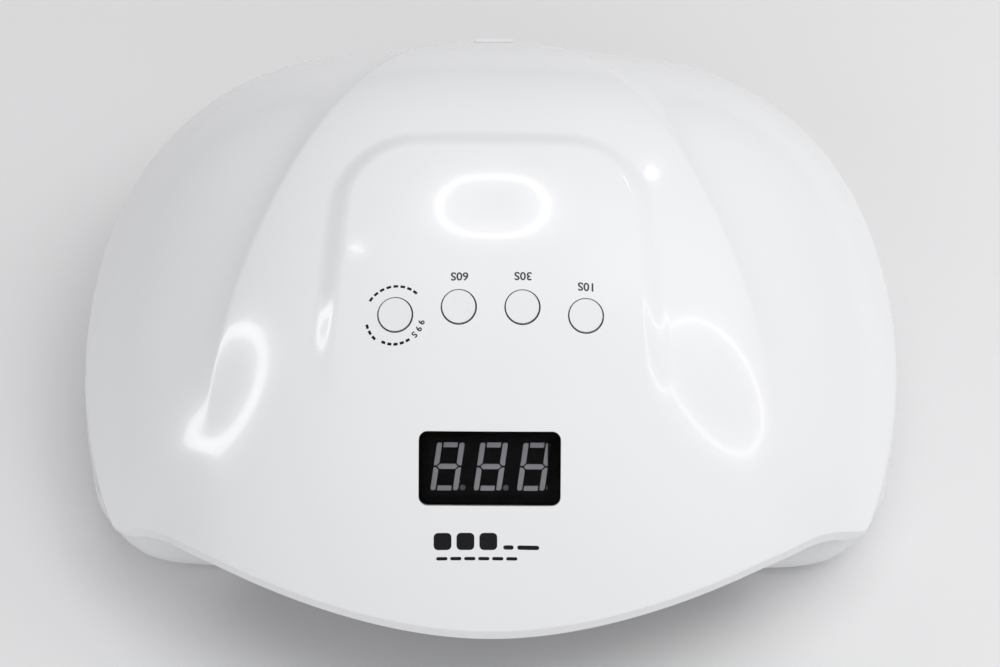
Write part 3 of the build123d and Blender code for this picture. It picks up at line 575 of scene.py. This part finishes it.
SLOT_MATERIALS = {
    "gloss_white": gloss_white,
    "base_white": base_white,
    "reflector_silver": silver,
    "tray_steel": tray_paint,
    "bare_steel": steel,
    "magnet_nickel": nickel,
    "rubber_grey": rubber,
    "smoked_window": smoked,
    "black_film": black_film,
    "segment_grey": segment_grey,
    "point_grey": point_grey,
    "module_grey": module_grey,
    "key_white": key_white,
    "plunger_black": chip_black,
    "switch_dark": module_grey,
    "board_green": board_green,
    "board_white": board_white,
    "chip_black": chip_black,
    "header_cream": cream,
    "capacitor_dark": capacitor_dark,
    "socket_black": socket_black,
    "lead_red": lead_red,
    "lead_grey": lead_grey,
    "lens_clear": lens_clear,
    "package_cream": package_cream,
    "sensor_dark": sensor_dark,
}

for part in frame["record"]["subparts"]:
    node = frame["nodes"][part["node"]]
    set_material(node, SLOT_MATERIALS[part["material_slot"]])
    mesh = node.data
    mesh.polygons.foreach_set("use_smooth", [True] * len(mesh.polygons))
    if hasattr(mesh, "set_sharp_from_angle"):
        mesh.set_sharp_from_angle(angle=math.radians(32))

cover = make_cover()
set_material(cover, gloss_white)
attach(cover, "lamp_body")
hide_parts("top_cover")

rear_tab = make_rear_tab()
set_material(rear_tab, gloss_white)
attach(rear_tab, "lamp_body")

for side in (-1, 1):
    wall = mouth_wall(side)
    set_material(wall, gloss_white)
    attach(wall, "lamp_body")


# ------------------------------------------------------------------ printed marks
def drape(obj, lift=0.03):
    """Moves a flat mesh, drawn in a seat's plane, on to the dome, a print's thickness above it."""
    m = obj.matrix_world
    for v in obj.data.vertices:
        p = m @ v.co / MM
        z = float(dome(np.array([p.x]), np.array([p.y]))[0])
        n = normals(np.array([p.x]), np.array([p.y]))[0]
        v.co = Vector((p.x, p.y, z)) * MM + Vector(n) * (lift * MM)
    obj.matrix_world = Matrix.Identity(4)


def printed(name, pieces, material, cell=0.6):
    """Joins flat meshes into one print, with long edges split so that it follows the dome."""
    bm = bmesh.new()
    for piece in pieces:
        temp = bmesh.new()
        temp.from_mesh(piece.data)
        temp.transform(piece.matrix_world)
        data = bpy.data.meshes.new("temp")
        temp.to_mesh(data)
        temp.free()
        bm.from_mesh(data)
        bpy.data.meshes.remove(data)
        bpy.data.objects.remove(piece)
    bmesh.ops.triangulate(bm, faces=bm.faces)
    for _ in range(3):
        long_edges = [e for e in bm.edges if e.calc_length() > cell * MM * 2]
        if not long_edges:
            break
        bmesh.ops.subdivide_edges(bm, edges=long_edges, cuts=1)
        bmesh.ops.triangulate(bm, faces=bm.faces)
    mesh = bpy.data.meshes.new(name)
    bm.to_mesh(mesh)
    bm.free()
    obj = link(bpy.data.objects.new(name, mesh))
    drape(obj)
    mesh.polygons.foreach_set("use_smooth", [True] * len(mesh.polygons))
    set_material(obj, material)
    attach(obj, "lamp_body")
    return obj


def text_mesh(text, size, matrix):
    curve = bpy.data.curves.new("text", "FONT")
    curve.body = text
    curve.size = size * MM
    curve.offset = size * 0.02 * MM
    curve.align_x = "CENTER"
    curve.align_y = "CENTER"
    curve.resolution_u = 4
    obj = link(bpy.data.objects.new("text", curve))
    bpy.context.view_layer.update()
    graph = bpy.context.evaluated_depsgraph_get()
    mesh = bpy.data.meshes.new_from_object(obj.evaluated_get(graph))
    bpy.data.objects.remove(obj)
    result = link(bpy.data.objects.new("text_mesh", mesh))
    result.matrix_world = matrix
    bpy.context.view_layer.update()
    return result


def flat_shape(outline, matrix):
    verts = [(x * MM, y * MM, 0) for x, y in outline]
    obj = new_mesh("flat", verts, [tuple(range(len(verts)))])
    obj.matrix_world = matrix
    bpy.context.view_layer.update()
    return obj


def placed(matrix, x, y, turn=0.0):
    return matrix @ Matrix.Translation((x * MM, y * MM, 0)) @ Matrix.Rotation(turn, 4, "Z")


LABEL_SIZE, LABEL_SHIFT = 3.6, 0.2
RING_LETTER_SIZE, RING_LETTER_RADIUS = 2.6, 7.9
RING_LETTER_START, RING_LETTER_STEP = -15, 14.5
RING_DASH_STEP, RING_DASH_SPAN, RING_DASH_THICK = 13.2, 8.6, 0.75
MARK_Y = -92.5
SQUARE_SIZE, SQUARE_CORNER, SQUARE_PITCH = 5.2, 1.3, 6.7
BAR_HEIGHT, BAR_CORNER = 1.3, 0.6
DASH_WIDTH, DASH_HEIGHT, DASH_CORNER, DASH_PITCH = 3.3, 1.0, 0.5, 4.1

key_plane = seat_matrix(0, KEY_Y)
labels = []
for text, i, rise in (("60S", 1, 9.4), ("30S", 2, 9.6), ("10S", 3, 9.3)):
    y = -KEY_OUTER_STEP if i == 3 else 0.0
    x = (i - 1.5) * KEY_PITCH + LABEL_SHIFT
    labels.append(text_mesh(text, LABEL_SIZE, placed(key_plane, x, y + rise, math.pi)))
printed("print_times", labels, print_ink_light, 0.5)


def arc_dash(cx, cy, radius, middle, span, thick):
    """Short thick arc about (cx, cy), as an outline; angles in degrees."""
    turns = [math.radians(middle + span * (k / 6 - 0.5)) for k in range(7)]
    outer, inner = radius + thick / 2, radius - thick / 2
    shape = [(cx + outer * math.cos(a), cy + outer * math.sin(a)) for a in turns]
    turns.reverse()
    shape += [(cx + inner * math.cos(a), cy + inner * math.sin(a)) for a in turns]
    return shape


ring = []
cx, cy = -1.5 * KEY_PITCH, -KEY_OUTER_STEP
for k, letter in enumerate("99S"):
    a = math.radians(RING_LETTER_START - RING_LETTER_STEP * k)
    x, y = cx + RING_LETTER_RADIUS * math.cos(a), cy + RING_LETTER_RADIUS * math.sin(a)
    spot = placed(key_plane, x, y, a - math.pi / 2)
    ring.append(text_mesh(letter, RING_LETTER_SIZE, spot))
for start, count, radius in ((-62, 5, 8.0), (-137, 3, 8.5), (142, 8, 9.0)):
    for k in range(count):
        middle = start - RING_DASH_STEP * k
        ring.append(flat_shape(arc_dash(cx, cy, radius, middle, RING_DASH_SPAN, RING_DASH_THICK), key_plane))
printed("print_ring", ring, print_ink, 0.5)

mark_plane = seat_matrix(0, MARK_Y)
mark = []
for k in range(3):
    square = rounded_rect(SQUARE_SIZE, SQUARE_SIZE, SQUARE_CORNER, 4)
    mark.append(flat_shape([(x - 13.7 + k * SQUARE_PITCH, y + 1.6) for x, y in square], mark_plane))
for x0, width in ((5.6, 3.0), (11.4, 6.4)):
    bar = [(x + x0, y - 0.2) for x, y in rounded_rect(width, BAR_HEIGHT, BAR_CORNER, 4)]
    mark.append(flat_shape(bar, mark_plane))
for k in range(6):
    dash = rounded_rect(DASH_WIDTH, DASH_HEIGHT, DASH_CORNER, 4)
    mark.append(flat_shape([(x - 13.9 + DASH_PITCH * k, y - 3.6) for x, y in dash], mark_plane))
printed("print_mark", mark, print_ink, 0.8)

# ------------------------------------------------------------------ floor, lights and camera
def make_floor():
    material, tree, shader = node_material("floor_paper")
    coords = add_node(tree, "ShaderNodeTexCoord")
    noise = add_node(tree, "ShaderNodeTexNoise", Scale=3.0, Detail=4.0)
    tree.links.new(coords.outputs["Object"], noise.inputs["Vector"])
    tone = add_node(tree, "ShaderNodeMix", data_type="RGBA")
    tone.inputs[6].default_value = (0.77, 0.77, 0.775, 1)
    tone.inputs[7].default_value = (0.81, 0.81, 0.815, 1)
    tree.links.new(noise.outputs["Fac"], tone.inputs[0])
    tree.links.new(tone.outputs[2], shader.inputs["Base Color"])
    shader.inputs["Roughness"].default_value = 0.6
    size = 4.0
    corners = [(-size, -size, 0), (size, -size, 0), (size, size, 0), (-size, size, 0)]
    floor = new_mesh("floor", corners, [(0, 1, 2, 3)])
    set_material(floor, material)


def soft_light(name, place, target, size_x, size_y, power, color):
    """Wide soft lamp that lights the surfaces without showing in their reflections."""
    data = bpy.data.lights.new(name, "AREA")
    data.shape = "RECTANGLE"
    data.size = size_x
    data.size_y = size_y
    data.energy = power
    data.color = color
    obj = link(bpy.data.objects.new(name, data))
    obj.location = place
    obj.rotation_euler = (Vector(target) - Vector(place)).to_track_quat("-Z", "Y").to_euler()
    obj.visible_glossy = False


def ring_lamp(name, place, target, radius_x, radius_y, tube, strength):
    """Glowing oval ring, seen only in reflections."""
    direction = (Vector(target) - Vector(place)).normalized()
    matrix = direction.to_track_quat("-Z", "Y").to_matrix().to_4x4()
    matrix.translation = Vector(place)
    verts, faces = [], []
    n, m = 64, 8
    for i in range(n):
        a = 2 * math.pi * i / n
        for j in range(m):
            b = 2 * math.pi * j / m
            k = tube * math.cos(b)
            verts.append(((radius_x + k) * math.cos(a), (radius_y + k) * math.sin(a), tube * math.sin(b)))
    for i in range(n):
        for j in range(m):
            here, ahead, next_j = i * m, ((i + 1) % n) * m, (j + 1) % m
            faces.append((here + j, ahead + j, ahead + next_j, here + next_j))
    obj = new_mesh(name, verts, faces)
    obj.matrix_world = matrix
    material = bpy.data.materials.new(name)
    material.use_nodes = True
    tree = material.node_tree
    tree.nodes.clear()
    glow = add_node(tree, "ShaderNodeEmission", Strength=strength)
    output = add_node(tree, "ShaderNodeOutputMaterial")
    tree.links.new(glow.outputs["Emission"], output.inputs["Surface"])
    set_material(obj, material)
    obj.visible_camera = False
    obj.visible_diffuse = False
    obj.visible_shadow = False
    return obj


make_floor()

# Three ring lamps and a few small ones make the bright loops that a glossy shell shows.
ring_lamp("ring_top", (0.001, 0.515, 1.405), (0, 0, 0.106), 0.16, 0.235, 0.02, 7.0)
ring_lamp("ring_left", (-0.97, -0.153, 0.515), (-0.08, -0.047, 0.072), 0.205, 0.225, 0.032, 5.5)
ring_lamp("ring_right", (0.818, -0.259, 0.702), (0.066, -0.048, 0.078), 0.235, 0.30, 0.012, 4.6)
ring_lamp("spot_rear_right", (0.55, 0.64, 0.81), (0.05, 0.01, 0.1), 0.012, 0.012, 0.012, 12.0)
ring_lamp("spot_left", (-0.44, 0.18, 0.99), (-0.04, -0.02, 0.1), 0.008, 0.03, 0.008, 8.0)

world = bpy.data.worlds.new("studio")
bpy.context.scene.world = world
world.use_nodes = True
world.node_tree.nodes["Background"].inputs["Color"].default_value = (0.985, 0.985, 1.0, 1)
world.node_tree.nodes["Background"].inputs["Strength"].default_value = 0.43

WARM, NEUTRAL, COOL = (1.0, 0.998, 0.995), (1.0, 1.0, 1.0), (0.99, 0.99, 1.0)
soft_light("key_light", (0.75, 0.12, 0.95), (0.02, 0, 0.05), 0.8, 0.9, 4.4, WARM)
soft_light("top_light", (0.2, 0.16, 1.5), (0, 0, 0.05), 1.2, 1.2, 6.2, NEUTRAL)
soft_light("front_light", (0.25, -1.1, 0.6), (0, -0.16, 0.0), 1.6, 0.7, 2.7, COOL)
soft_light("left_fill", (-0.7, -0.9, 0.8), (0, -0.15, 0.0), 1.2, 0.8, 1.9, COOL)

ELEVATION = 56.6
DISTANCE = 0.85
TARGET = Vector((0.0028, -0.0094, 0.045))
ROLL = 0.3
FOCAL_LENGTH, SENSOR_WIDTH = 97.614, 36.0

e = math.radians(ELEVATION)
back = Vector((0, -math.cos(e), math.sin(e)))
camera_data = bpy.data.cameras.new("camera")
camera = link(bpy.data.objects.new("camera", camera_data))
camera.location = TARGET + back * DISTANCE
camera.rotation_mode = "QUATERNION"
roll = Matrix.Rotation(math.radians(ROLL), 4, "Z").to_quaternion()
camera.rotation_quaternion = (-back).to_track_quat("-Z", "Y") @ roll
camera_data.sensor_width = SENSOR_WIDTH
camera_data.lens = FOCAL_LENGTH
camera_data.clip_start = 0.01
camera_data.clip_end = 20.0
bpy.context.scene.camera = camera
bpy.context.scene.view_settings.view_transform = "Standard"
